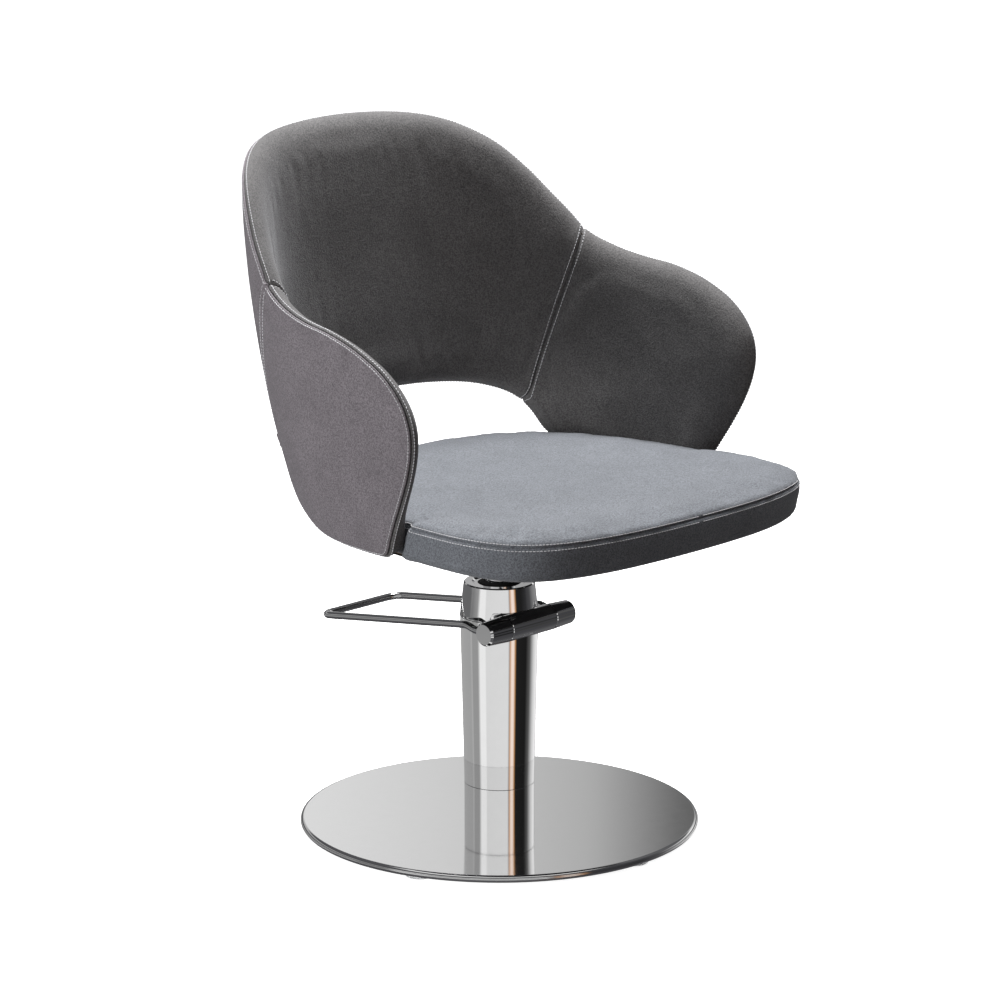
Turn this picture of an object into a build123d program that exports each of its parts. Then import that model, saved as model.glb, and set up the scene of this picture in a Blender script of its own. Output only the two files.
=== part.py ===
"""Hydraulic styling chair: round floor base, pump column with foot lever, upholstered tub seat.

Millimetres, +Z up.  The origin is on the floor under the column's axis, and the sitter faces -Y.
"""
from build123d import *
from math import atan2, cos, degrees, exp, hypot, radians, sin
import os

# ---------------------------------------------------------------- driving dimensions
GAP = 0.3                 # clearance left between separate pieces that do not fit each other

BASE_R = 250.0            # floor disc
GLIDE_H = 4.0
BASE_TOP = 13.5
SHEET = 1.5               # polished sheet of the base, column and head covers
RIM_ROLL = 4.6            # radius of the rolled rim
GLIDE_R, GLIDE_PITCH_R, GLIDES = 18.0, 225.0, 5

COLUMN_FOOT_R, COLUMN_TOP_R = 44.0, 49.0
FOOT_RING_TOP = 56.0
COLUMN_TOP = 271.8
HEAD_TOP = 315.5
HEAD_LOW_R, HEAD_HIGH_R = 49.3, 44.5
PUMP_R = 42.0             # reservoir and pump head
PUMP_TOP = 312.0
BOLT_PCD = 62.0

RAM_R = 20.0
BUSH_R, BUSH_LOW = 24.0, 262.0
WIPER_R, WIPER_DEPTH = 26.0, 4.0
CYLINDER_R, CYLINDER_BORE = 27.0, 23.0
RAM_LOW, RAM_HIGH = 54.0, 388.0
LIFT = 150.0              # stroke of the hydraulic ram

HUB_Y, HUB_Z = -46.0, 269.0   # lever axis, parallel to X
HUB_R = 16.5
HUB_HALF = 39.5           # half length of the fixed housing
BOSS_LEN = 37.5
SHAFT_R, SHAFT_HALF = 7.0, 74.0
CAM_ARM, CAM_TIP_R, CAM_HUB_R = 13.0, 4.5, 8.5
CAM_HALF, CAM_SLOT = 7.5, 8.5     # half widths of the cam and of its slot
PLUNGER_R = 4.0
SCREW_TURN = 35.0         # the housing's grub screws point this far forward of straight down
LEVER_SWING = 25.0        # degrees, pressed down

ROD_R = 4.75
ROD_X = 67.0              # the two side rods of the lever loop
LOOP_REAR_Y, LOOP_REAR_Z = 248.0, 239.0

WALL = 28.0               # thickness of the upholstered shell
SKIN = 6.0                # outer cover on its foam
BOARD_T = 9.0             # moulded plywood in the shell
RIM_INSET = 9.0           # the board stops this far inside the rim

SEAT_LOW, SEAT_HIGH = 404.0, 456.0
SEAT_BOARD_T = 12.0
PLATE_TOP = 402.4
PLATE_T = 6.0

SHELL_Y = -200.0          # centre of the shell's rounded plan
SHELL_POWER = 3.0         # its roundness: 2 is an ellipse


# ---------------------------------------------------------------- small helpers
def cylinder_between(radius, low, high, x=0.0, y=0.0):
    """Upright cylinder from one height to another."""
    return Pos(x, y, low) * Cylinder(radius, high - low, align=(Align.CENTER, Align.CENTER, Align.MIN))


def cross_cylinder(radius, low, high, y=HUB_Y, z=HUB_Z):
    """Cylinder along X from one station to another."""
    return Pos((low + high) / 2, y, z) * Rot(0, 90, 0) * Cylinder(radius, high - low)


def block(x, y, z):
    """Box from three (low, high) pairs."""
    size = [high - low for low, high in (x, y, z)]
    middle = [(high + low) / 2 for low, high in (x, y, z)]
    return Pos(*middle) * Box(*size)


def ring(outer, inner, low, high):
    return cylinder_between(outer, low, high) - cylinder_between(inner, low - 1, high + 1)


def turned(*outline):
    """Solid of revolution about Z from (radius, height) points."""
    return revolve(Plane.XZ * make_face(Polyline(*outline, close=True)), Axis.Z)


def mirrored(solid):
    return mirror(solid, Plane.YZ)


def group(solids):
    """Several separate solids kept in one node."""
    return Compound(children=[s for item in solids for s in item.solids()])


# ---------------------------------------------------------------- the shell's wall
def half_width(z):
    h = z - 400
    return 282 + 0.244 * h - 0.000403 * h * h


def rear_reach(z):
    return 347 - 160 * exp(-(z - 400) / 439)


def wall_point(angle, z, inset=0.0):
    """Point of the wall at a plan angle from straight back, a given depth inside its outer face."""
    side, back = sin(radians(angle)), cos(radians(angle))
    width = half_width(z) - inset
    depth = rear_reach(z) - inset - SHELL_Y
    reach = (abs(side / width) ** SHELL_POWER + abs(back / depth) ** SHELL_POWER) ** (-1 / SHELL_POWER)
    return Vector(reach * side, SHELL_Y + reach * back, z)


def wall_section(z, outside, inside):
    """U-shaped slice of the wall between two depths inside its outer face."""
    angles = [-84 + 12 * i for i in range(15)]
    outer = Spline(*[wall_point(a, z, outside) for a in angles])
    inner = Spline(*[wall_point(a, z, inside) for a in angles])
    ends = [Line(outer @ 0, inner @ 0), Line(outer @ 1, inner @ 1)]
    return make_face([outer, inner] + ends)


def wall(outside, inside):
    """Full-height wall, before its outline is cut."""
    return loft([wall_section(380 + 65 * i, outside, inside) for i in range(9)])


def plan_angle(z, x=None, y=None, inset=0.0):
    """Plan angle of the wall's point at a height, found from its X or from its Y."""
    width = half_width(z) - inset
    depth = rear_reach(z) - inset - SHELL_Y
    if x is None:
        x = width * (1 - ((y - SHELL_Y) / depth) ** SHELL_POWER) ** (1 / SHELL_POWER)
    else:
        y = SHELL_Y + depth * (1 - (x / width) ** SHELL_POWER) ** (1 / SHELL_POWER)
    return degrees(atan2(x, y - SHELL_Y))


# The outline's left half.  The back's rim is given from the front as (x, z) and the arm's from the side
# as (y, z).  The arm's front is a side view too, from above its rim down past its toe.  The lower edge
# is (plan angle, z): arch of the opening, corner, heel and sole.
BACK_RIM = [(0, 869), (60, 867), (115, 862), (156, 854), (190, 841), (222, 819), (247, 787), (263, 757),
            (275, 731)]
ARM_RIM = [(118, 712), (93, 699), (60, 688), (25, 681), (-7, 677), (-35, 671), (-70, 665), (-120, 658),
           (-180, 650)]
ARM_FRONT = [(5, 702), (-20, 685), (-40, 673), (-59, 664), (-81, 655), (-103, 644), (-122, 630),
             (-137, 614), (-148, 595), (-153, 572), (-150, 545), (-140, 516), (-125, 486), (-108, 456),
             (-93, 430), (-84, 416), (-74, 404), (-60, 390), (-40, 372)]
LOWER_EDGE = [(0, 528), (11, 525.5), (19, 521), (24, 515), (28, 505), (30.5, 493), (32, 478), (33.5, 459),
              (36.5, 440), (42, 425), (49, 415), (57, 410.5), (66, 410), (76, 410), (86, 410)]
MM_PER_DEGREE = 5.6       # arc length of one degree of plan angle, on average
LEAN = 70.0               # how far the wall may stray from an edge strip as it leans


def moved_in(points, distance, scale=1.0):
    """A line of points moved sideways, to its right, by a distance in mm."""
    flat = [(s * scale, z) for s, z in points]
    result = []
    for i, (s, z) in enumerate(flat):
        before, after = flat[max(i - 1, 0)], flat[min(i + 1, len(flat) - 1)]
        ds, dz = after[0] - before[0], after[1] - before[1]
        step = distance / hypot(ds, dz)
        result.append(((s + dz * step) / scale, z - ds * step))
    return result


def edge_strip(points):
    """Strip across the wall's thickness along a line of (plan angle, z) points, on both halves."""
    points = [(-a, z) for a, z in points[:0:-1]] + points
    outer = Spline(*[wall_point(a, z, -LEAN) for a, z in points])
    inner = Spline(*[wall_point(a, z, WALL + LEAN) for a, z in points])
    return Face.make_surface_from_curves(outer, inner)


def above_rim(shrink):
    """Space over the rim of the back and the arms."""
    rim = [(plan_angle(z, x=x), z) for x, z in BACK_RIM] + [(plan_angle(z, y=y), z) for y, z in ARM_RIM]
    rim = moved_in(rim, shrink, MM_PER_DEGREE)
    rim[0] = (0, rim[0][1])
    return extrude(edge_strip(rim), 400, dir=(0, 0, 1))


def ahead_of_arms(shrink):
    """Space in front of the arms' rounded fronts."""
    edge = Spline(*moved_in(ARM_FRONT, -shrink))
    far = Polyline(edge @ 1, (-400, 372), (-400, 702), edge @ 0)
    return extrude(Plane.YZ * make_face([edge, far]), 600, both=True)


def below_shell(shrink):
    """Space under the shell's lower edge, with the lumbar opening."""
    edge = moved_in(LOWER_EDGE, -shrink, MM_PER_DEGREE)
    edge[0] = (0, edge[0][1])
    return extrude(edge_strip(edge), 400, dir=(0, 0, -1))


SEAM_TOP = Vector(285, 118, 712)          # where the back meets the left arm on the rim
SEAM_LOW = Vector(193, 137, 488)          # the seam's lower end, at the opening's corner
SEAM_ACROSS = Vector(sin(radians(60)), cos(radians(60)), 0)
HALF_SPACE = 800.0        # a reach larger than the chair


def seam_plane(shift=0.0):
    """Plane of the left back-to-arm seam, its normal towards the front, moved along that normal."""
    normal = (SEAM_LOW - SEAM_TOP).cross(SEAM_ACROSS).normalized()
    if normal.Y > 0:
        normal = -normal
    return Plane(origin=SEAM_TOP + normal * shift, x_dir=SEAM_ACROSS, z_dir=normal)


def front_side(shift):
    """Everything on the arm's side of the left seam plane."""
    return seam_plane(shift) * Pos(0, 0, HALF_SPACE / 2) * Box(2 * HALF_SPACE, 2 * HALF_SPACE, HALF_SPACE)


def rear_side(shift):
    """Everything on the back's side of the left seam plane."""
    return seam_plane(shift) * Pos(0, 0, -HALF_SPACE / 2) * Box(2 * HALF_SPACE, 2 * HALF_SPACE, HALF_SPACE)


def back_piece(outside, inside, shrink=0.0, seam_gap=GAP):
    """Back layer between two depths of the wall."""
    cut = rear_side(-seam_gap / 2)
    piece = wall(outside, inside) & cut & mirrored(cut)
    return piece - above_rim(shrink) - below_shell(shrink)


def arm_piece(outside, inside, shrink=0.0, seam_gap=GAP):
    """Left arm layer between two depths of the wall."""
    piece = wall(outside, inside) & front_side(seam_gap / 2)
    return piece - ahead_of_arms(shrink) - above_rim(shrink) - below_shell(shrink)


def shell_box(angle, z, depth, width, height, thick, spread=0.0):
    """Flat plate lying on the wall's inside: centred at a plan angle and height, its outer face at
    a depth in the wall; spread enlarges it all round."""
    here = wall_point(angle, z, depth)
    along = (wall_point(angle + 2, z, depth) - wall_point(angle - 2, z, depth)).normalized()
    up = (wall_point(angle, z + 20, depth) - wall_point(angle, z - 20, depth)).normalized()
    inward = up.cross(along).normalized()
    if inward.dot(here - Vector(0, SHELL_Y, z)) > 0:
        inward = -inward
    place = Plane(origin=here + inward * thick / 2, x_dir=along, z_dir=inward)
    return place, place * Box(width + 2 * spread, height + 2 * spread, thick + 2 * spread)


# ---------------------------------------------------------------- base
def floor_glides():
    """Round plastic pads under the base plate."""
    pad = cylinder_between(GLIDE_R, 0, GLIDE_H)
    pad = fillet(pad.edges().group_by(Axis.Z)[0], 0.8)
    return [pad.moved(Location(spot)) for spot in glide_spots()]


def glide_spots():
    turn = [radians(-90 + 360 / GLIDES * i) for i in range(GLIDES)]
    return [(GLIDE_PITCH_R * cos(a), GLIDE_PITCH_R * sin(a), 0) for a in turn]


def bolt_spots(pitch, count=4, start=45):
    turn = [radians(start + 360 / count * i) for i in range(count)]
    return [(pitch / 2 * cos(a), pitch / 2 * sin(a)) for a in turn]


def base_plate():
    """Thick steel disc with countersunk holes for the pump's bolts."""
    plate = cylinder_between(BASE_R - RIM_ROLL - 1.5, GLIDE_H, BASE_TOP - SHEET - 0.1)
    for x, y in bolt_spots(BOLT_PCD):
        plate -= cylinder_between(4.3, 0, 20, x, y)
        plate -= Pos(x, y, GLIDE_H + 2) * Cone(8.6, 4.3, 4.3) + cylinder_between(8.6, 0, GLIDE_H, x, y)
    return plate


def base_cover():
    """Polished sheet disc; its rim rolls under in a half round."""
    low = BASE_TOP - 2 * RIM_ROLL
    rim_x = BASE_R - RIM_ROLL
    hole = PUMP_R + GAP
    inner = RIM_ROLL - SHEET
    centre = BASE_TOP - RIM_ROLL
    top = Line((hole, BASE_TOP), (rim_x, BASE_TOP))
    outer_roll = ThreePointArc((rim_x, BASE_TOP), (BASE_R, centre), (rim_x, low))
    lip = Line((rim_x, low), (rim_x, low + SHEET))
    inner_roll = ThreePointArc((rim_x, low + SHEET), (rim_x + inner, centre), (rim_x, BASE_TOP - SHEET))
    under = Line((rim_x, BASE_TOP - SHEET), (hole, BASE_TOP - SHEET))
    bore = Line((hole, BASE_TOP - SHEET), (hole, BASE_TOP))
    return revolve(Plane.XZ * make_face([top, outer_roll, lip, inner_roll, under, bore]), Axis.Z)


def base_bolts():
    bolts = []
    for x, y in bolt_spots(BOLT_PCD):
        head = Pos(x, y, GLIDE_H + 2.1) * Cone(8.3, 4.0, 4.2)
        bolts.append(head + cylinder_between(4.0, GLIDE_H + 3, 24, x, y))
    return bolts


def pump_reservoir():
    """Oil tube with its thick foot, drilled for the base bolts."""
    low = BASE_TOP - SHEET
    body = cylinder_between(PUMP_R, low, 250) - cylinder_between(PUMP_R - 3, low + 16, 251)
    for x, y in bolt_spots(BOLT_PCD):
        body -= cylinder_between(4.0, low - 1, 26, x, y)
    return body


def column_foot_ring():
    """Short straight ring where the column meets the base."""
    skin = ring(COLUMN_FOOT_R, PUMP_R + 0.4, BASE_TOP, FOOT_RING_TOP)
    top_edges = skin.edges().filter_by(GeomType.CIRCLE).group_by(Axis.Z)[-1]
    return fillet(top_edges.sort_by(SortBy.RADIUS)[-1:], 0.5)


def column_cover():
    """Tapered sleeve over the pump, notched at the front for the lever housing."""
    foot, top = COLUMN_FOOT_R, COLUMN_TOP_R
    low = FOOT_RING_TOP + 0.4
    sleeve = turned((foot, low), (top, COLUMN_TOP), (top - SHEET, COLUMN_TOP), (foot - SHEET, low))
    return sleeve - cross_cylinder(HUB_R + GAP, -60, 60)


def head_cover():
    """Tapered cap over the pump's head, dished round the ram."""
    low = COLUMN_TOP + 0.4
    outer = [(HEAD_LOW_R, low), (HEAD_HIGH_R, HEAD_TOP - 1.5), (HEAD_HIGH_R - 1.5, HEAD_TOP)]
    dish = [(34, HEAD_TOP), (31, HEAD_TOP - 2), (27, HEAD_TOP - 2), (27, PUMP_TOP + 0.1)]
    inner = [(PUMP_R + 0.3, PUMP_TOP + 0.1), (PUMP_R + 0.3, low)]
    cap = turned(*outer, *dish, *inner)
    return cap - cross_cylinder(HUB_R + GAP, -60, 60)


# ---------------------------------------------------------------- pump
def pump_cylinder():
    """Inner tube that the piston runs in, with a cross hole for the oil."""
    tube = ring(CYLINDER_R, CYLINDER_BORE, 28.2, 249.7)
    return tube - Pos(0, 0, 34) * Rot(90, 0, 0) * Cylinder(2, 80)


def pump_head():
    """Cast block closing the reservoir: ram bore, plunger passage and the saddle of the housing."""
    body = cylinder_between(PUMP_R, 250, PUMP_TOP)
    body -= cylinder_between(BUSH_R + 0.02, 249, 320)
    body -= cylinder_between(WIPER_R + 0.1, PUMP_TOP - WIPER_DEPTH, 320)
    body -= cross_cylinder(HUB_R + GAP, -60, 60)
    body -= block((-CAM_SLOT, CAM_SLOT), (-60, -27.6), (257, 292))
    body -= cylinder_between(PLUNGER_R + 0.04, 249, 262, y=plunger_y())
    return body


def guide_bush():
    """Bronze bush that guides the ram."""
    return ring(BUSH_R, RAM_R + 0.05, BUSH_LOW, PUMP_TOP - WIPER_DEPTH - 0.2)


def wiper_seal():
    """Rubber ring with a lip on the ram."""
    bore, low = RAM_R + 0.06, PUMP_TOP - WIPER_DEPTH
    return turned((bore, low), (WIPER_R, low), (WIPER_R, PUMP_TOP + 1.5), (22.5, PUMP_TOP + 4),
                  (bore, PUMP_TOP + 5))


def lever_housing():
    """Cast barrel across the column's front that carries the lever shaft, on a short saddle."""
    barrel = cross_cylinder(HUB_R, -HUB_HALF, HUB_HALF)
    barrel = chamfer(barrel.edges().filter_by(GeomType.CIRCLE), 0.6)
    barrel -= cross_cylinder(SHAFT_R + 2.0, -60, 60)
    barrel -= cross_cylinder(12.5, -CAM_SLOT, CAM_SLOT)
    barrel -= block((-CAM_SLOT, CAM_SLOT), (HUB_Y, -20), (HUB_Z - 14, HUB_Z + 14))
    for x, y, z in set_screw_spots():
        barrel -= Pos(x, y, z) * Rot(SCREW_TURN, 0, 0) * Cylinder(2.0, 8)
    return barrel


def set_screw_spots():
    """Two grub screws low on the front of the housing."""
    down, turn = HUB_R - 3.0, radians(SCREW_TURN)
    return [(x, HUB_Y - down * sin(turn), HUB_Z - down * cos(turn)) for x in (22.0, 30.0)]


def housing_screws():
    return [Pos(x, y, z) * Rot(SCREW_TURN, 0, 0) * Cylinder(1.95, 4.5) for x, y, z in set_screw_spots()]


def shaft_bushes():
    """Bushes that carry the lever shaft either side of the cam."""
    bushes = []
    for low, high in ((-HUB_HALF + 1, -9.5), (9.5, HUB_HALF - 1)):
        bush = cross_cylinder(SHAFT_R + 1.98, low, high) - cross_cylinder(SHAFT_R + 0.04, low - 1, high + 1)
        bushes.append(bush)
    return bushes


def plunger_y():
    return HUB_Y + CAM_ARM * cos(radians(LEVER_SWING / 2))


def cam_tip_z():
    return HUB_Z + CAM_ARM * sin(radians(LEVER_SWING / 2))


def pump_plunger():
    top = cam_tip_z() - CAM_TIP_R - 0.05
    return cylinder_between(PLUNGER_R, 232.5, top, y=plunger_y())


def plunger_barrel():
    """Closed tube under the head, with the plunger and its spring inside."""
    y = plunger_y()
    return cylinder_between(5.3, 206, 249.9, y=y) - cylinder_between(PLUNGER_R + 0.04, 208.2, 260, y=y)


def plunger_spring():
    """Return spring under the plunger."""
    wire_r, coil_r, turns = 0.45, 3.2, 7
    low, high = 209.0, 231.8
    path = Pos(0, plunger_y(), low) * Helix(pitch=(high - low) / turns, height=high - low, radius=coil_r)
    start = Plane(origin=path @ 0, z_dir=path % 0)
    return sweep(start * Circle(wire_r), path=path, is_frenet=True)


# ---------------------------------------------------------------- foot lever
def lever_shaft():
    """Steel shaft through the housing and both bosses."""
    return chamfer(cross_cylinder(SHAFT_R, -SHAFT_HALF, SHAFT_HALF).edges().filter_by(GeomType.CIRCLE), 0.8)


def lever_boss():
    """Tapered end boss on the sitter's left: closed outer end, blind bore for the shaft."""
    low, high = HUB_HALF + 0.5, HUB_HALF + BOSS_LEN
    profile = [(low, 0), (low, HUB_R - 0.8), (low + 0.8, HUB_R), (high - 2.5, HUB_R - 1.6),
               (high, HUB_R - 4), (high, 0)]
    face = make_face(Polyline(*profile, close=True))
    solid = Pos(0, HUB_Y, HUB_Z) * revolve(face, Axis.X)
    solid -= cross_cylinder(SHAFT_R + 0.01, low - 1, SHAFT_HALF + 0.3)
    solid -= rod_solid(0.02)
    solid -= Pos(HUB_HALF + 9, HUB_Y, HUB_Z + 12) * Cylinder(2.0, 10)
    return solid


def boss_screws():
    """Grub screws that hold the bosses to the shaft."""
    screw = Pos(HUB_HALF + 9, HUB_Y, HUB_Z + 10.6) * Cylinder(1.95, 6.6)
    return [screw, mirrored(screw)]


def rod_solid(grow=0.0):
    """Bent rod of the lever: out of one boss, back past the column, across and forward again."""
    rise = (HUB_Y + 38, HUB_Z + 4.2)
    side = [(ROD_X, HUB_Y + 11.5, HUB_Z), (ROD_X, HUB_Y + 24, HUB_Z + 0.3), (ROD_X, *rise),
            (ROD_X, LOOP_REAR_Y, LOOP_REAR_Z)]
    other = [(-x, y, z) for x, y, z in reversed(side)]
    path = FilletPolyline(*side, *other, radius=[12, 25, 17, 17, 25, 12])
    section = Plane(origin=path @ 0, z_dir=path % 0) * Circle(ROD_R + grow)
    return sweep(section, path=path)


def pump_cam():
    """Rocker on the shaft; its rounded tip presses the plunger down."""
    hub = cross_cylinder(CAM_HUB_R, -CAM_HALF, CAM_HALF)
    tip = cross_cylinder(CAM_TIP_R, -CAM_HALF, CAM_HALF, y=plunger_y(), z=cam_tip_z())
    arm = Pos(0, (HUB_Y + plunger_y()) / 2, (HUB_Z + cam_tip_z()) / 2) * Rot(LEVER_SWING / 2, 0, 0)
    arm = arm * Box(2 * CAM_HALF, CAM_ARM, CAM_TIP_R)
    return hub + tip + arm - cross_cylinder(SHAFT_R, -20, 20)


# ---------------------------------------------------------------- ram
def ram_piston():
    body = cylinder_between(CYLINDER_BORE - 0.05, 32, 50)
    return body - ring(30, CYLINDER_BORE - 3, 38, 44)


def piston_seal():
    return ring(CYLINDER_BORE - 0.03, CYLINDER_BORE - 3, 38.1, 43.9)


def thrust_washer():
    return ring(RAM_R - 1, 6, 50.1, RAM_LOW - 0.1)


def ram_rod():
    """Chromed ram with a slow taper at its top, as the seat's socket needs."""
    straight = cylinder_between(RAM_R, RAM_LOW, 350)
    straight = chamfer(straight.edges().group_by(Axis.Z)[0], 1)
    return straight + turned((0, 350), (RAM_R, 350), (RAM_R - 1.9, RAM_HIGH), (0, RAM_HIGH))


# ---------------------------------------------------------------- seat carrier
def seat_mount_plate():
    """Square steel plate with a tapered socket and four webs."""
    low = PLATE_TOP - PLATE_T
    plate = block((-85, 85), (-85, 85), (low, PLATE_TOP))
    plate = fillet(plate.edges().filter_by(Axis.Z), 12)
    socket = turned((0, 346), (26, 346), (28, 348), (31, low), (0, low))
    web = Plane.XZ * Polygon((24, low), (88, low), (29, 362), (24, 362), align=None)
    web = extrude(web, 3, both=True)
    bore = turned((0, 340), (RAM_R + 0.02, 340), (RAM_R + 0.02, 350), (RAM_R - 1.88, RAM_HIGH + 0.02),
                  (0, RAM_HIGH + 0.02))
    solid = plate + socket
    for i in range(4):
        solid += Rot(0, 0, 45 + 90 * i) * web
    solid -= bore
    for x, y in mount_spots():
        solid -= cylinder_between(4.3, low - 1, PLATE_TOP + 1, x, y)
    return solid


def mount_spots():
    return [(sx * 70, sy * 70) for sx in (-1, 1) for sy in (-1, 1)]


def mount_bolts():
    """Socket-head bolts up through the plate into the seat board."""
    low = PLATE_TOP - PLATE_T
    bolts = []
    for x, y in mount_spots():
        head = cylinder_between(6.5, low - 5.2, low - 0.05, x, y)
        key = cylinder_between(3, low - 5.3, low - 2, x, y)
        bolts.append(head - key + cylinder_between(4, low - 1, SEAT_LOW + SEAT_BOARD_T - 1, x, y))
    return bolts


# ---------------------------------------------------------------- seat
SEAT_MIDDLE_Y, SEAT_HALF_WIDTH, SEAT_HALF_DEPTH = -76.0, 290.0, 248.0   # what its outline shrinks towards


def seat_outline(shrink=0.0):
    """Plan of the seat: bowed front, wide in front of the arms, following the shell behind."""
    half = [(0, -327), (60, -326), (122, -321.5), (178, -311), (222, -294), (252, -269), (268, -237),
            (275, -195), (274, -150), (270, -105), (265, -60), (256, -10), (236, 52), (205, 104), (160, 146),
            (100, 164), (40, 170), (0, 171)]
    inner = [(x * (1 - shrink / SEAT_HALF_WIDTH),
              SEAT_MIDDLE_Y + (y - SEAT_MIDDLE_Y) * (1 - shrink / SEAT_HALF_DEPTH)) for x, y in half]
    edge = Spline(*inner, tangents=[(1, 0), (-1, 0)])
    return make_face([edge, mirror(edge, Plane.YZ)])


def arm_space(clearance):
    """Space that the left arm takes up, with clearance all round."""
    return arm_piece(-clearance, WALL + clearance, -clearance, -40)


def seat_solid(low, high, shrink, clearance):
    """Slab with the seat's plan, notched round both arms."""
    slab = Pos(0, 0, low) * extrude(seat_outline(shrink), high - low)
    space = arm_space(clearance)
    return slab - space - mirrored(space)


def seat_board():
    """Plywood board, with room for the bracket feet and holes for all its fixings."""
    board = seat_solid(SEAT_LOW + 0.2, SEAT_LOW + SEAT_BOARD_T, 26, 10)
    for x, y in mount_spots():
        board -= cylinder_between(4, SEAT_LOW - 1, SEAT_LOW + 20, x, y)
    for side in (1, -1):
        board -= bracket_foot(side, 0.2)
        for x, y in bracket_foot_screws(side):
            board -= cylinder_between(2.0, SEAT_LOW - 1, SEAT_LOW + 12, x, y)
    return board


def seat_cushion():
    """Foam seat with its cover: rounded lower edge, small upper edge, recess for the board below."""
    slab = Pos(0, 0, SEAT_LOW) * extrude(seat_outline(), SEAT_HIGH - SEAT_LOW)
    slab = fillet(slab.edges().group_by(Axis.Z)[-1], 7)
    slab = fillet(slab.edges().group_by(Axis.Z)[0], 16)
    space = arm_space(1.2)
    slab = slab - space - mirrored(space)
    slab -= seat_solid(SEAT_LOW - 5, SEAT_LOW + SEAT_BOARD_T + GAP, 25, 9)
    for side in (1, -1):
        slab -= bracket_foot(side, 0.5) + bracket_leg(side, 0.5)
    return slab


def seat_under_cover():
    """Thin dust cover under the seat board."""
    sheet = seat_solid(PLATE_TOP + 0.1, SEAT_LOW - 0.1, 22, 8)
    for x, y in mount_spots():
        sheet -= cylinder_between(4.2, PLATE_TOP - 1, SEAT_LOW + 1, x, y)
    return sheet


# ---------------------------------------------------------------- arm brackets
BRACKET_ANGLE, BRACKET_WIDTH, BRACKET_T = 52.0, 60.0, 4.0
BRACKET_TOP = 478.0
BRACKET_DEPTH = SKIN + BOARD_T + 3.0


def bracket_leg(side, spread=0.0):
    """Upright leg of the bracket against the arm board's inside."""
    height = BRACKET_TOP - SEAT_LOW
    _, leg = shell_box(BRACKET_ANGLE, SEAT_LOW + height / 2, BRACKET_DEPTH, BRACKET_WIDTH, height,
                       BRACKET_T, spread)
    return leg if side > 0 else mirrored(leg)


def bracket_place():
    """Plan position where the bracket turns in under the seat, and its inward direction."""
    corner = wall_point(BRACKET_ANGLE, SEAT_LOW, BRACKET_DEPTH + BRACKET_T)
    along = (wall_point(BRACKET_ANGLE + 2, SEAT_LOW, 20) - wall_point(BRACKET_ANGLE - 2, SEAT_LOW, 20))
    along = Vector(along.X, along.Y, 0).normalized()
    inward = Vector(along.Y, -along.X, 0)
    if inward.X > 0:
        inward = -inward
    return corner, along, inward


def bracket_foot(side, spread=0.0):
    """Flat foot let into the underside of the seat board."""
    corner, along, inward = bracket_place()
    reach = 105.0
    middle = corner + inward * (reach / 2 - BRACKET_T - 1)
    place = Plane(origin=Vector(middle.X, middle.Y, SEAT_LOW + BRACKET_T / 2), x_dir=along, z_dir=(0, 0, 1))
    foot = place * Box(BRACKET_WIDTH + 2 * spread, reach + 2 * spread, BRACKET_T + 2 * spread)
    return foot if side > 0 else mirrored(foot)


def bracket_foot_screws(side):
    corner, along, inward = bracket_place()
    spots = [corner + inward * d + along * a for d in (55, 82) for a in (-18, 18)]
    return [(side * p.X, p.Y) for p in spots]


def arm_bracket():
    """The left arm's steel angle: leg in the arm, foot under the seat."""
    solid = bracket_foot(1) + bracket_leg(1)
    for x, y in bracket_foot_screws(1):
        solid -= cylinder_between(2.4, SEAT_LOW - 1, SEAT_LOW + 10, x, y)
    return solid


def bracket_screws():
    """Wood screws up through the bracket feet into the seat board."""
    screws = []
    for side in (1, -1):
        for x, y in bracket_foot_screws(side):
            screws.append(cylinder_between(1.95, SEAT_LOW + 0.2, SEAT_LOW + 11, x, y))
    return screws


# ---------------------------------------------------------------- shell: boards, plates, upholstery
CORNER_ANGLE, CORNER_Z = 36.5, 600.0
CORNER_SIZE = (56.0, 90.0, 3.0)
CORNER_DEPTH = SKIN + BOARD_T + 4.5
CORNER_HOLES = [(across, up) for across in (-21, 21) for up in (-32, 32)]


def corner_plate(side, spread=0.0):
    """Steel plate that joins the back board to an arm board behind the foam."""
    width, height, thick = CORNER_SIZE
    _, plate = shell_box(CORNER_ANGLE, CORNER_Z, CORNER_DEPTH, width, height, thick, spread)
    return plate if side > 0 else mirrored(plate)


def corner_screw(across, up, radius, low, high):
    """Cylinder square to the left corner plate, at a spot on it."""
    width, height, thick = CORNER_SIZE
    place, _ = shell_box(CORNER_ANGLE, CORNER_Z, CORNER_DEPTH, width, height, thick)
    middle = (low + high) / 2
    return place * Pos(across, up, middle) * Cylinder(radius, high - low)


def corner_screws():
    """Screws through the plates into the boards."""
    left = [corner_screw(across, up, 2.0, -9, 3.2) for across, up in CORNER_HOLES]
    return left + [mirrored(screw) for screw in left]


def drilled_corner_plate():
    """The left corner plate with its screw holes."""
    plate = corner_plate(1)
    for across, up in CORNER_HOLES:
        plate -= corner_screw(across, up, 2.05, -10, 10)
    return plate


def drill_corner(solid):
    """Clear holes for the corner screws."""
    for across, up in CORNER_HOLES:
        hole = corner_screw(across, up, 2.05, -12, 4)
        solid = solid - hole - mirrored(hole)
    return solid


def back_board():
    return drill_corner(back_piece(SKIN, SKIN + BOARD_T, RIM_INSET))


def arm_board():
    return drill_corner(arm_piece(SKIN, SKIN + BOARD_T, RIM_INSET))


def pocket(piece, shrink):
    """Space in the inner upholstery for the outer cover, the board and the fixings."""
    return piece(-10, SKIN + BOARD_T + GAP, shrink, -20)


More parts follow.
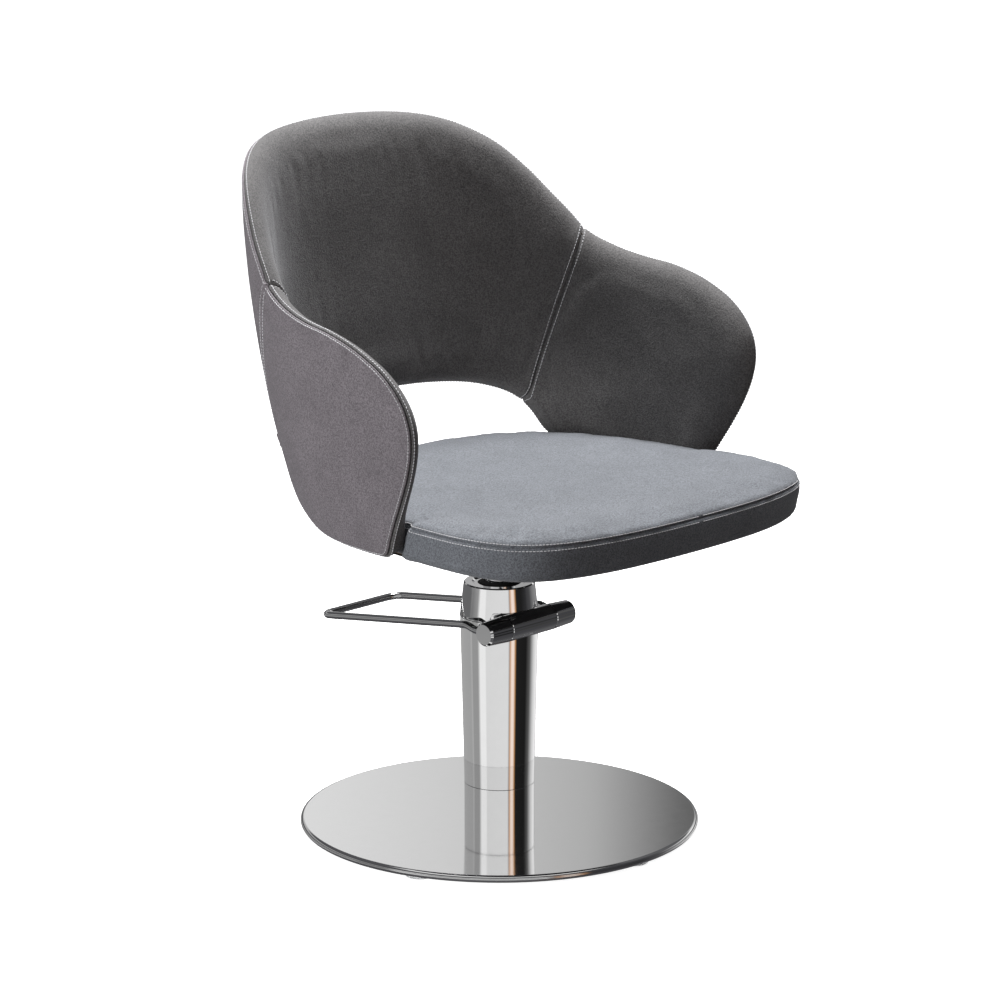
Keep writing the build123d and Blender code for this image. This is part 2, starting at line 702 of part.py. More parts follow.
def back_inner_pad():
    """Foam and leather of the back's inside, wrapped over the rim to the outer edge."""
    pad = back_piece(0, WALL) - pocket(back_piece, RIM_INSET - GAP)
    return pad - corner_plate(1, 0.8) - corner_plate(-1, 0.8) - screw_ends()


def arm_inner_pad():
    """Foam and leather of the left arm's inside, wrapped over its rim and front."""
    pad = arm_piece(0, WALL) - pocket(arm_piece, RIM_INSET - GAP)
    return pad - corner_plate(1, 0.8) - bracket_leg(1, 0.5) - bracket_foot(1, 0.5) - screw_ends()


def screw_ends():
    """Room for the corner screws' heads."""
    ends = Compound(children=[corner_screw(across, up, 2.6, -12, 4) for across, up in CORNER_HOLES])
    return ends + mirrored(ends)


def back_outer_cover():
    return back_piece(0, SKIN - GAP, RIM_INSET)


def arm_outer_cover():
    return arm_piece(0, SKIN - GAP, RIM_INSET)


# ---------------------------------------------------------------- all nodes
def both_sides(name, solid):
    """The sitter's left side is +X."""
    return {name + "_left": solid, name + "_right": mirrored(solid)}


def nodes():
    parts = {
        "floor_glides": group(floor_glides()), "base_plate": base_plate(), "base_cover": base_cover(),
        "base_bolts": group(base_bolts()), "column_foot_ring": column_foot_ring(),
        "column_cover": column_cover(), "head_cover": head_cover(), "pump_reservoir": pump_reservoir(),
        "pump_cylinder": pump_cylinder(), "pump_head": pump_head(), "guide_bush": guide_bush(),
        "wiper_seal": wiper_seal(), "lever_housing": lever_housing(), "shaft_bushes": group(shaft_bushes()),
        "housing_screws": group(housing_screws()), "plunger_barrel": plunger_barrel(),
        "plunger_spring": plunger_spring(), "pump_plunger": pump_plunger(), "lever_shaft": lever_shaft(),
        "lever_loop": rod_solid(), "pump_cam": pump_cam(), "boss_screws": group(boss_screws()),
        "ram_piston": ram_piston(), "piston_seal": piston_seal(), "thrust_washer": thrust_washer(),
        "ram_rod": ram_rod(), "seat_mount_plate": seat_mount_plate(), "mount_bolts": group(mount_bolts()),
        "seat_board": seat_board(), "seat_cushion": seat_cushion(), "seat_under_cover": seat_under_cover(),
        "bracket_screws": group(bracket_screws()), "corner_screws": group(corner_screws()),
        "back_board": back_board(), "back_inner_pad": back_inner_pad(),
        "back_outer_cover": back_outer_cover(),
    }
    parts |= both_sides("lever_boss", lever_boss())
    parts |= both_sides("arm_bracket", arm_bracket())
    parts |= both_sides("corner_plate", drilled_corner_plate())
    parts |= both_sides("arm_board", arm_board())
    parts |= both_sides("arm_inner_pad", arm_inner_pad())
    parts |= both_sides("arm_outer_cover", arm_outer_cover())
    return parts


def main():
    os.makedirs("parts", exist_ok=True)
    for name, solid in nodes().items():
        export_step(solid, f"parts/{name}.step")
        print(f"{name:22s} {solid.volume / 1000:10.2f} cm3")


if __name__ == "__main__":
    main()
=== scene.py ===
"""Looks of the styling chair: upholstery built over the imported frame, materials, studio and camera."""
import math

import bmesh
import bpy
import numpy as np
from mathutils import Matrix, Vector
from mathutils.kdtree import KDTree


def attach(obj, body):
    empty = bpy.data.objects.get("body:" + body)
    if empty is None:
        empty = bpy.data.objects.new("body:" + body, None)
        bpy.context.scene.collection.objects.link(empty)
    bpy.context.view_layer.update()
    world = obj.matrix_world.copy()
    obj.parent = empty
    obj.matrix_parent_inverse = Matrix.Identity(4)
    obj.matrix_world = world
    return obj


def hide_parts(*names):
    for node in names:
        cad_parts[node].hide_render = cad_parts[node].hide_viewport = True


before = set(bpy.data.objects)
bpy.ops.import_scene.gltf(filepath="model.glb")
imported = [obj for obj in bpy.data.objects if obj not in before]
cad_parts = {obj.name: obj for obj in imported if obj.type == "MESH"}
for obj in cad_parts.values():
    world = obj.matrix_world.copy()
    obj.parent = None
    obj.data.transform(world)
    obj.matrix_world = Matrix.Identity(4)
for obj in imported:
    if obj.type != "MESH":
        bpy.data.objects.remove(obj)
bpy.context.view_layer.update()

MM = 0.001

# ---------------------------------------------------------------- the shell's wall, in metres
SHELL_Y = -0.200          # centre of the shell's rounded plan
SHELL_POWER = 3.0         # its roundness: 2 is an ellipse
WALL = 0.028              # thickness of the upholstered wall
PER_DEGREE = 0.0056       # arc length of one degree of plan angle

# Outline of the left half: back's rim from the front (x, z), arm's rim and front from the side (y, z),
# lower edge as (plan angle, z).  The seam between back and arm is straight in (plan angle, z).
BACK_RIM = [(0, 869), (60, 867), (115, 862), (156, 854), (190, 841), (222, 819), (247, 787), (263, 757),
            (275, 731)]
SEAM_TOP = (118, 712)
ARM_RIM = [SEAM_TOP, (93, 699), (60, 688), (25, 681), (-7, 677), (-35, 671), (-59, 664), (-81, 655),
           (-103, 644), (-122, 630), (-137, 614), (-148, 595), (-153, 572), (-150, 545), (-140, 516),
           (-125, 486), (-108, 456), (-95, 432)]
TOE = [(-88, 418), (-81, 411), (-70, 409)]
ARM_FRONT, ARM_TOE = (-122, 630), (-87, 419)      # (y, z) where the arm's rim turns down and where it ends
SOLE = [(58, 408.5), (52, 409), (47, 411.5), (43.5, 417), (40.5, 425.5), (37, 437), (34, 454), (32, 475)]
SEAM_LOW = (30.3, 490)
ARCH = [(27.5, 502), (23.5, 511.5), (19, 517.5), (11, 522.5), (0, 525)]


def half_width(z):
    """Half of the shell's width at a height."""
    h = z - 0.4
    return 0.282 + 0.244 * h - 0.403 * h * h


def rear_reach(z):
    """How far back the shell reaches at a height."""
    return 0.347 - 0.160 * np.exp(-(z - 0.4) / 0.439)


def wall_point(s, z, depth):
    """Points of the wall: s along its plan, height z, depth inside the outer face."""
    angle = np.radians(np.asarray(s) / PER_DEGREE)
    side, back = np.sin(angle), np.cos(angle)
    width = half_width(z) - depth
    reach_y = rear_reach(z) - depth - SHELL_Y
    reach = np.abs(side / width) ** SHELL_POWER + np.abs(back / reach_y) ** SHELL_POWER
    reach = reach ** (-1 / SHELL_POWER)
    return np.stack([reach * side, SHELL_Y + reach * back, np.broadcast_to(z, reach.shape)], -1)


def from_front(x, z):
    """(s, z) of the outer face's point seen at x from the front, in millimetres."""
    x, z = x * MM, z * MM
    width, depth = half_width(z), rear_reach(z) - SHELL_Y
    y = depth * (1 - (x / width) ** SHELL_POWER) ** (1 / SHELL_POWER)
    return math.degrees(math.atan2(x, y)) * PER_DEGREE, z


def from_side(y, z):
    """(s, z) of the outer face's point seen at y from the side, in millimetres."""
    y, z = y * MM - SHELL_Y, z * MM
    width, depth = half_width(z), rear_reach(z) - SHELL_Y
    x = width * (1 - (y / depth) ** SHELL_POWER) ** (1 / SHELL_POWER)
    return math.degrees(math.atan2(x, y)) * PER_DEGREE, z


def from_angle(angle, z):
    """(s, z) of a plan angle in degrees and a height in millimetres."""
    return angle * PER_DEGREE, z * MM


# ---------------------------------------------------------------- lines
def smooth_line(points, per_span=24):
    """Dense line that passes smoothly through the points."""
    p = np.array(points, float)
    k = np.concatenate([[0], np.cumsum(np.linalg.norm(np.diff(p, axis=0), axis=1) ** 0.5)])
    slope = np.zeros_like(p)
    slope[1:-1] = (p[2:] - p[:-2]) / (k[2:] - k[:-2])[:, None]
    slope[0] = 2 * (p[1] - p[0]) / (k[1] - k[0]) - slope[1]
    slope[-1] = 2 * (p[-1] - p[-2]) / (k[-1] - k[-2]) - slope[-2]
    out = [p[:1]]
    for i in range(len(p) - 1):
        u = np.linspace(0, 1, per_span + 1)[1:, None]
        step = k[i + 1] - k[i]
        out.append((2 * u**3 - 3 * u**2 + 1) * p[i] + (u**3 - 2 * u**2 + u) * step * slope[i]
                   + (3 * u**2 - 2 * u**3) * p[i + 1] + (u**3 - u**2) * step * slope[i + 1])
    return np.concatenate(out)


def lengths_of(line):
    """Length of a line up to each of its points."""
    return np.concatenate([[0], np.cumsum(np.linalg.norm(np.diff(line, axis=0), axis=1))])


def resample(line, where):
    """Points of a line at the given shares of its length."""
    k = lengths_of(line)
    k = k / k[-1]
    return np.stack([np.interp(where, k, line[:, c]) for c in range(line.shape[1])], -1)


def graded(count, length, fine_end, first=0.0007, growth=1.32):
    """Shares from 0 to 1 of a line of that length, packed close together at its start and perhaps its end."""
    even = length / count
    steps = [0.0]
    while first * growth ** (len(steps) - 1) < even:
        steps.append(steps[-1] + first * growth ** (len(steps) - 1))
    start = np.array(steps) / length
    end = 1 - start[::-1] if fine_end else np.array([1.0])
    middle = np.linspace(start[-1], end[0], max(count - len(start) - len(end) + 3, 3))[1:-1]
    return np.concatenate([start, middle, end])


def recount(values, count):
    """The same run of values with another number of steps."""
    return np.interp(np.linspace(0, 1, count), np.linspace(0, 1, len(values)), values)


def share_at(line, point):
    """Share of a line's length at its nearest point to the given one."""
    k = lengths_of(line)
    return k[np.linalg.norm(line - np.array(point), axis=1).argmin()] / k[-1]


def distance_to(points, line):
    """Distance of each 2-D point to a line."""
    flat = points.reshape(-1, 2)
    a, b = line[:-1], line[1:]
    ab = b - a
    t = np.clip(((flat[:, None] - a) * ab).sum(-1) / (ab * ab).sum(-1), 0, 1)
    near = a + t[..., None] * ab
    return np.sqrt(((flat[:, None] - near) ** 2).sum(-1).min(1)).reshape(points.shape[:-1])


SEAM_LINE = np.array([from_angle(*SEAM_LOW), from_side(*SEAM_TOP)])
SEAM_DIR = (SEAM_LINE[1] - SEAM_LINE[0]) / np.linalg.norm(SEAM_LINE[1] - SEAM_LINE[0])
BACK_TOP = smooth_line([from_front(x, z) for x, z in BACK_RIM] + [tuple(SEAM_LINE[1])])
ARM_EDGE = smooth_line([from_side(y, z) for y, z in ARM_RIM + TOE] + [from_angle(*p) for p in SOLE]
                       + [tuple(SEAM_LINE[0])])
OPENING = smooth_line([tuple(SEAM_LINE[0])] + [from_angle(*p) for p in ARCH])[::-1]


# ---------------------------------------------------------------- cross-sections of the rim
# (depth from the outer face, distance in from the outline), in millimetres, both measured at the rim.
# The seam is a groove at the outer corner; the inner cover rolls over the rim and down inside.
# Rows run from the hidden ones through the seam's groove to the visible leather.
HIDDEN_ROWS = 4
STITCH_ROW = 8            # the row where the stitches of the rim's seam lie
STITCH_COLUMN = 3         # the column where the stitches beside a panel's end seam lie
SEAM_STITCH = 2.7         # distance of a stitch line from its seam
ROLL = 42.0               # how far in from the rim the inner cover's roll reaches
ROLL_START = 4 * MM       # the seam keeps its size this far in; what lies further in narrows with the roll
TOE_ROLL, TOE_FADE = 0.3, 0.12    # the roll's share at the arm's toe; share of the edge where it fades


def inner_profile():
    """From behind the board, up to the seam groove, over the rim and down the inner face."""
    hidden = [(15.6, 26), (15.4, 13), (9, 7.5), (5.5, 5)]
    seam = [(3.6, 3.9), (3.5, 2.7), (3.8, 1.4), (4.6, 0.5), (5.8, 0.12)]
    turn = [math.radians(7.5 * i) for i in range(1, 13)]
    over = [(4 + 24 * math.sin(a), ROLL * (1 - math.cos(a))) for a in turn]
    return np.array(hidden + seam + over) * MM


def outer_profile():
    """From behind the outer foam, up to the seam groove and down the outer face."""
    hidden = [(5.6, 26), (5.6, 15), (5.4, 8), (4.6, 5.6)]
    seam = [(3.3, 4.0), (2.5, 2.4), (1.7, 1.9), (0.8, 2.5), (0.2, 4.2), (-0.1, 7)]
    face = [(-0.4, 12), (-0.7, 18), (-0.9, 26)]
    return np.array(hidden + seam + face) * MM


def groove(e):
    """How far leather sinks at a distance e from a twin-needle seam."""
    e = e / MM
    fold = 2.3 * np.exp(-((e / 1.15) ** 2))
    pulled = 0.35 * np.exp(-(((e - SEAM_STITCH) / 0.8) ** 2))
    puffed = 0.35 * np.exp(-(((e - 5.5) / 3.0) ** 2))
    return (fold + pulled - puffed) * MM


def profile_normals(profile):
    """Outward normals of a profile that runs from hidden to visible."""
    step = np.gradient(profile, axis=0)
    normal = np.stack([step[:, 1], -step[:, 0]], -1)
    return normal / np.linalg.norm(normal, axis=1)[:, None]


def inward(line, lead_start, lead_end, blend=0.05):
    """Directions into the panel all along its edge; at a seam they run along the seam."""
    step = np.gradient(line, axis=0)
    normal = np.stack([step[:, 1], -step[:, 0]], -1)
    normal /= np.linalg.norm(normal, axis=1)[:, None]
    k = lengths_of(line)
    for lead, gap in ((lead_start, k), (lead_end, k[-1] - k)):
        share = np.clip(1 - gap / blend, 0, 1)[:, None]
        share = share * share * (3 - 2 * share)
        normal = normal * (1 - share) + lead * 1.1 * share
    return normal


# ---------------------------------------------------------------- panels
def coons(bottom, top, left, right):
    """Patch between four lines of points; bottom and top run left to right, sides run upwards."""
    u = lengths_of(bottom + top)
    u = (u / u[-1])[:, None, None]
    v = lengths_of(left + right)
    v = (v / v[-1])[None, :, None]
    ruled = (1 - v) * bottom[:, None] + v * top[:, None] + (1 - u) * left[None] + u * right[None]
    low_corners = (1 - v) * ((1 - u) * bottom[0] + u * bottom[-1])
    high_corners = v * ((1 - u) * top[0] + u * top[-1])
    return ruled - low_corners - high_corners


def edge_rows(line, directions, profile, roll_share, seam):
    """Rows of the rolled edge: arrays (columns, rows) of (s, z) and of depth."""
    normals = profile_normals(profile)
    spread = profile[None, :, 1] * np.ones((len(line), 1))
    reach = profile[:, 1].max()
    narrowing = ((reach * roll_share - ROLL_START) / (reach - ROLL_START))[:, None]
    spread = np.where(spread > ROLL_START, ROLL_START + (spread - ROLL_START) * narrowing, spread)
    flat = line[:, None] + directions[:, None] * spread[..., None]
    hidden = np.arange(len(profile)) < HIDDEN_ROWS
    sink = np.where(hidden[None], 0, groove(distance_to(flat, seam)))
    flat = flat - directions[:, None] * (sink * normals[None, :, 1])[..., None]
    depth = profile[None, :, 0] - sink * normals[None, :, 0]
    return flat, depth


def grid_faces(index):
    """Quads of a grid of vertex numbers."""
    corners = index[:-1, :-1], index[1:, :-1], index[1:, 1:], index[:-1, 1:]
    return np.stack(corners, -1).reshape(-1, 4)


def new_object(name, verts, faces, weld=2e-6):
    """Closed, outward-facing smooth mesh from welded grids; open loops are capped."""
    mesh = bpy.data.meshes.new(name)
    mesh.from_pydata([tuple(v) for v in verts], [], [tuple(int(i) for i in f) for f in faces])
    bm = bmesh.new()
    bm.from_mesh(mesh)
    bmesh.ops.remove_doubles(bm, verts=bm.verts, dist=weld)
    open_edges = [e for e in bm.edges if len(e.link_faces) == 1]
    if open_edges:
        capped = bmesh.ops.holes_fill(bm, edges=open_edges, sides=0)
        bmesh.ops.triangulate(bm, faces=capped["faces"])
    bmesh.ops.recalc_face_normals(bm, faces=bm.faces)
    bm.to_mesh(mesh)
    bm.free()
    mesh.shade_smooth()
    obj = bpy.data.objects.new(name, mesh)
    bpy.context.scene.collection.objects.link(obj)
    return obj


def gather(grids):
    """One list of vertices and faces from several grids of points."""
    verts, faces, start = [], [], 0
    for grid in grids:
        count = grid.shape[0] * grid.shape[1]
        index = np.arange(start, start + count).reshape(grid.shape[:2])
        verts.append(grid.reshape(-1, 3))
        faces.append(grid_faces(index))
        start += count
    return np.concatenate(verts), np.concatenate(faces)


def padding(flat, towards, height, edges):
    """Small swell of a foam panel, to one side of the wall, that starts past the roll of its edges."""
    soften = 45 * MM
    gap = np.min([distance_to(flat, edge) for edge in edges], axis=0)
    gap = np.clip(gap - ROLL * MM, 0, None) / soften
    return towards * height * (1 - np.exp(-gap * gap))


def end_cap(edge, end):
    """Strip that closes the end of a rolled edge, from its outermost pair of rows to its middle row."""
    rows = edge[end]
    half = len(rows) // 2 + 1
    return np.stack([rows[:half], rows[::-1][:half]])


def back_grids(profile, roll_low, face_depth, hidden_depth, swell):
    """Grids of a back panel, across both halves: rim, arch, face and hidden face."""
    top_half = np.concatenate([(BACK_TOP * [-1, 1])[::-1], BACK_TOP[1:]])
    low_half = np.concatenate([(OPENING * [-1, 1])[::-1], OPENING[1:]])
    share = graded(210, lengths_of(low_half)[-1], True)
    top, low = resample(top_half, share), resample(low_half, share)
    lead = SEAM_DIR * [-1, 1]
    top_in = inward(top, -lead, -SEAM_DIR)
    low_in = inward(low[::-1], SEAM_DIR, lead)[::-1]
    seams = [SEAM_LINE, SEAM_LINE * [-1, 1]]

    def rows(line, directions, roll_share):
        roll_share = np.full(len(line), roll_share)
        flat, depth = edge_rows(line, directions, profile, roll_share, seams[0])
        other_flat, other_depth = edge_rows(line, directions, profile, roll_share, seams[1])
        other = (line[:, 0] < 0)[:, None]
        return np.where(other[..., None], other_flat, flat), np.where(other, other_depth, depth)

    top_flat, top_depth = rows(top, top_in, 1.0)
    low_flat, low_depth = rows(low, low_in, roll_low)
    grids = [wall_point(top_flat[..., 0], top_flat[..., 1], top_depth),
             wall_point(low_flat[..., 0], low_flat[..., 1], low_depth)]
    side = np.linspace(0, 1, 64)
    towards = np.sign(face_depth - hidden_depth)
    for row, depth in ((-1, face_depth), (0, hidden_depth)):
        left = resample(np.stack([low_flat[0, row], top_flat[0, row]]), side)
        right = resample(np.stack([low_flat[-1, row], top_flat[-1, row]]), side)
        flat = coons(low_flat[:, row], top_flat[:, row], left, right)
        if row == -1:
            gap = np.minimum(distance_to(flat, seams[0]), distance_to(flat, seams[1]))
            depth = depth - towards * groove(gap) + padding(flat, towards, swell, [top, low, *seams])
        grids.append(wall_point(flat[..., 0], flat[..., 1], depth))
    face, hidden = grids[2:]
    ends = [np.stack([face[end], hidden[end]]) for end in (0, -1)]
    return grids + ends + [end_cap(edge, end) for edge in grids[:2] for end in (0, -1)]


def arm_grids(profile, face_depth, hidden_depth, swell):
    """Grids of a left arm panel: its rolled edge from seam to seam, face and hidden face."""
    front = share_at(ARM_EDGE, from_side(*ARM_FRONT))
    toe = share_at(ARM_EDGE, from_side(*ARM_TOE))
    total = lengths_of(ARM_EDGE)[-1]
    first = graded(84, total * front, False) * front
    middle = np.linspace(front, toe, 60)[1:]
    last = 1 - recount(graded(84, total * (1 - toe), False) * (1 - toe), len(first))[::-1]
    share = np.concatenate([first, middle, last[1:]])
    line = resample(ARM_EDGE, share)
    directions = inward(line, -SEAM_DIR, SEAM_DIR)
    fall = np.clip((share - toe) / TOE_FADE + 1, 0, 1)
    roll_share = 1 - (1 - TOE_ROLL) * fall * fall * (3 - 2 * fall)
    flat, depth = edge_rows(line, directions, profile, roll_share, SEAM_LINE)
    grids = [wall_point(flat[..., 0], flat[..., 1], depth)]
    n1, n2 = len(first), len(middle)
    towards = np.sign(face_depth - hidden_depth)
    for row, base in ((-1, face_depth), (0, hidden_depth)):
        ring = flat[:, row]
        top = ring[:n1]
        tip = ring[n1 - 1:n1 + n2]
        low = ring[n1 + n2 - 1:][::-1]
        seam = resample(np.stack([low[0], top[0]]), np.linspace(0, 1, len(tip)))
        patch = coons(low, top, seam, tip[::-1])
        if row == -1:
            swollen = padding(patch, towards, swell, [line, SEAM_LINE])
            base = base - towards * groove(distance_to(patch, SEAM_LINE)) + swollen
        grids.append(wall_point(patch[..., 0], patch[..., 1], base))
    face, hidden = grids[1:]
    return grids + [np.stack([face[0], hidden[0]]), end_cap(grids[0], 0), end_cap(grids[0], -1)]


def mirrored(grids):
    """The same grids on the other side."""
    return [g * [-1, 1, 1] for g in grids]


# ---------------------------------------------------------------- stitches
PITCH, STITCH = 4.2 * MM, 3.4 * MM          # spacing and length of the stitches
THREAD = 0.5 * MM                           # radius of the thread
SIDES = 6
ALONG = np.array([0, 0.16, 0.5, 0.84, 1])   # stations of a stitch, with its height over the leather and girth
LIFT = np.array([-0.35, 0.22, 0.38, 0.22, -0.35]) * MM
GIRTH = THREAD * np.array([0.55, 1, 1.05, 1, 0.55])


def path_normals(points, cores):
    """Directions out of the leather, square to a path, away from points inside the panel."""
    along = np.gradient(points, axis=0)
    along /= np.linalg.norm(along, axis=1)[:, None]
    out = points - cores
    out -= along * (out * along).sum(1)[:, None]
    return out / np.linalg.norm(out, axis=1)[:, None]


def stitch_faces(base):
    """Faces of one stitch whose vertices start at a number."""
    last = base + SIDES * (len(ALONG) - 1)
    faces = []
    for row in range(base, last, SIDES):
        for j in range(SIDES):
            a, b = row + j, row + (j + 1) % SIDES
            faces.append((a, b, b + SIDES, a + SIDES))
    faces.append(tuple(base + j for j in range(SIDES))[::-1])
    faces.append(tuple(last + j for j in range(SIDES)))
    return faces


def stitches(paths):
    """Vertices and faces of a row of thread stitches along each path of (points, normals)."""
    ring = np.arange(SIDES) * 2 * math.pi / SIDES
    verts, faces = [], []
    for points, normals in paths:
        k = lengths_of(points)
        for start in np.arange(PITCH, k[-1] - PITCH, PITCH):
            faces += stitch_faces(len(verts))
            where = start + STITCH * ALONG
            centre = np.stack([np.interp(where, k, points[:, c]) for c in range(3)], -1)
            normal = np.stack([np.interp(where, k, normals[:, c]) for c in range(3)], -1)
            normal /= np.linalg.norm(normal, axis=1)[:, None]
            along = centre[-1] - centre[0]
            along /= np.linalg.norm(along)
            side = np.cross(along, normal)
            centre = centre + normal * LIFT[:, None]
            for c, n, t, r in zip(centre, normal, side, GIRTH):
                verts.extend(c + r * (math.cos(a) * n + math.sin(a) * t) for a in ring)
    return verts, faces


def edge_path(edge):
    """Path of the stitches along a rolled edge."""
    return edge[:, STITCH_ROW], path_normals(edge[:, STITCH_ROW], edge[:, 0])


def seam_path(top_edge, low_edge, face, hidden, column):
    """Path beside a panel's end seam: over the rim, down the face, round the lower edge."""
    top, low = top_edge[column], low_edge[column]
    points = np.concatenate([top[STITCH_ROW:-1], face[column, ::-1], low[STITCH_ROW:-1][::-1]])
    rows = len(top) - STITCH_ROW - 1
    inside = np.concatenate([np.repeat(top[:1], rows, 0), hidden[column, ::-1], np.repeat(low[:1], rows, 0)])
    return points, path_normals(points, inside)


# ---------------------------------------------------------------- seat cushion
SEAT_LINE_LOW, SEAT_SEAM, SEAT_HIGH = 0.406, 0.449, 0.456
ARM_LINE_LOW = 0.42       # below this height the cushion's plan beside the arms stays the same
SEAT_HALF = [(0, -327), (60, -326), (122, -321.5), (178, -311), (222, -294), (252, -269), (268, -237),
             (275, -195), (274, -150), (270, -105), (265, -60)]
ARM_CLEAR = 0.0016        # gap between cushion and arms
CORNER_SOFTNESS = 0.011   # length over which its outline's corners are rounded
OUTWARD_SOFTNESS = 0.035  # length over which the directions into it are evened out
SEAT_CROWN, CROWN_REACH = 0.0022, 0.06
SEAT_STITCH_ROWS = -14, -7     # rows of its profile below and above the seam


def blurred(values, spacing, reach):
    """Values along an evenly spaced line, averaged over a reach of its length; ends mirror."""
    n = max(int(reach / spacing), 1)
    padded = np.concatenate([values[n:0:-1] * [-1, 1], values, values[-2:-n - 2:-1] * [-1, 1]])
    kernel = np.hanning(2 * n + 3)[1:-1]
    kernel /= kernel.sum()
    return np.stack([np.convolve(padded[:, c], kernel, "valid") for c in range(2)], -1)


def arm_front(z):
    """How far forward the arm reaches at a height."""
    y, height = np.array(ARM_RIM[-6:] + TOE[:2]).T[:, ::-1]
    return np.interp(z, height * MM, y * MM)


def seat_line(z, count=700):
    """Half of the cushion's outline at a height, from the front's middle to the back's middle."""
    free = smooth_line([(x * MM, y * MM) for x, y in SEAT_HALF])
    free[0, 0] = 0
    stop = arm_front(z) - 2 * ARM_CLEAR
    free = free[free[:, 1] < stop]
    angle = np.linspace(105, 0, 240) * PER_DEGREE
    held = wall_point(angle, np.full(240, max(z, ARM_LINE_LOW)), WALL + ARM_CLEAR)[:, :2]
    held = held[held[:, 1] > stop]
    line = np.concatenate([free, held])
    line = resample(line, np.linspace(0, 1, count))
    return blurred(line, lengths_of(line)[-1] / count, CORNER_SOFTNESS)


def seat_profile():
    """(distance in, height) from the underside's edge, round the band and its seam to the top."""
    turn = [math.radians(a) for a in (0, 15, 30, 45, 60, 75, 90)]
    recess = [(24.6, 416.6), (24.4, 411), (24.2, 405.2), (23.2, 404.1)]
    low = [(19 - 16 * math.sin(a), 420 - 16 * math.cos(a)) for a in turn]
    band = [(1.9, 426), (0.7, 431), (-0.1, 436), (-0.2, 441), (0.1, 444.6), (0.6, 446.6)]
    seam = [(1.2, 447.7), (2.2, 448.5), (3.0, 449.1), (2.2, 449.8), (1.1, 450.6), (0.7, 451.8)]
    top = [(1.0, 453.3), (2.3, 455.4), (4.6, 457.1), (8, 458.0), (13, 458.5), (19, 458.8)]
    return np.array(recess + low + band + seam + top) * MM


def seat_grids():
    """Grids of the cushion: its edge all round, top and underside."""
    profile = seat_profile()
    rows = []
    for inset, z in profile:
        line = seat_line(np.clip(z, SEAT_LINE_LOW, SEAT_HIGH))
        step = np.gradient(line, axis=0)
        normal = np.stack([-step[:, 1], step[:, 0]], -1)
        normal /= np.linalg.norm(normal, axis=1)[:, None]
        normal = blurred(normal, lengths_of(line)[-1] / len(line), OUTWARD_SOFTNESS)
        half = line + normal * inset
        half[[0, -1], 0] = 0
        full = np.concatenate([half, (half * [-1, 1])[-2:0:-1]])
        rows.append(np.column_stack([full, np.full(len(full), z)]))
    edge = np.stack(rows, 1)
    count = len(edge)
    front = count // 8
    back = count // 2 - front
    grids = [np.concatenate([edge, edge[:1]])]
    for row, crown in ((-1, SEAT_CROWN), (0, 0.0)):
        ring = edge[:, row]
        right = ring[front:back + 1]
        top = ring[back:count - back + 1][::-1]
        left = ring[count - back:count - front + 1][::-1]
        low = np.concatenate([ring[count - front:], ring[:front + 1]])
        flat = coons(low[:, :2], top[:, :2], left[:, :2], right[:, :2])
        gap = distance_to(flat, ring[::4, :2])
        height = ring[0, 2] + crown * (1 - np.exp(-gap / CROWN_REACH))
        grids.append(np.dstack([flat, height]))
    return grids


# ---------------------------------------------------------------- leather pushed out by its foam
CELL = 0.006              # mesh size of the cloth that is simulated
FRAMES = 20
PRESSURE = 4.0
HELD_DEPTH = 0.0235       # leather nearer the outer face than this belongs to the rim and is held
HELD_SEAM = 0.009         # leather this near a seam is held


def coordinates(mesh):
    """All the vertices of a mesh as one array."""
    flat = np.empty(len(mesh.vertices) * 3)
    mesh.vertices.foreach_get("co", flat)
    return flat.reshape(-1, 3)


def wall_depth(points):
    """How deep in the wall each point lies, from the outer face."""
    side, back = np.abs(points[:, 0]), np.abs(points[:, 1] - SHELL_Y)
    width, reach = half_width(points[:, 2]), rear_reach(points[:, 2]) - SHELL_Y
    low, high = np.full(len(points), -0.01), np.full(len(points), 0.06)
    for _ in range(14):
        middle = (low + high) / 2
        outside = (side / (width - middle)) ** SHELL_POWER + (back / (reach - middle)) ** SHELL_POWER > 1
        low, high = np.where(outside, low, middle), np.where(outside, middle, high)
    return low


def shell_held(points):
    """The rim, the hidden side and the seams stay; the inner face is free."""
    s = np.degrees(np.arctan2(np.abs(points[:, 0]), points[:, 1] - SHELL_Y)) * PER_DEGREE
    seam_gap = distance_to(np.stack([s, points[:, 2]], -1), SEAM_LINE)
    return (wall_depth(points) < HELD_DEPTH) | (seam_gap < HELD_SEAM)


def seat_held(points):
    """The band and underside stay; the top panel is free."""
    return points[:, 2] < SEAT_SEAM + 0.001


def even_copy(piece):
    """Copy of a piece with an even mesh, fit to be simulated."""
    copy = piece.copy()
    copy.data = piece.data.copy()
    bpy.context.scene.collection.objects.link(copy)
    cells = copy.modifiers.new("cells", "REMESH")
    cells.mode, cells.voxel_size = "VOXEL", CELL
    mesh = bpy.data.meshes.new_from_object(copy.evaluated_get(bpy.context.evaluated_depsgraph_get()))
    copy.modifiers.clear()
    copy.data = mesh
    return copy


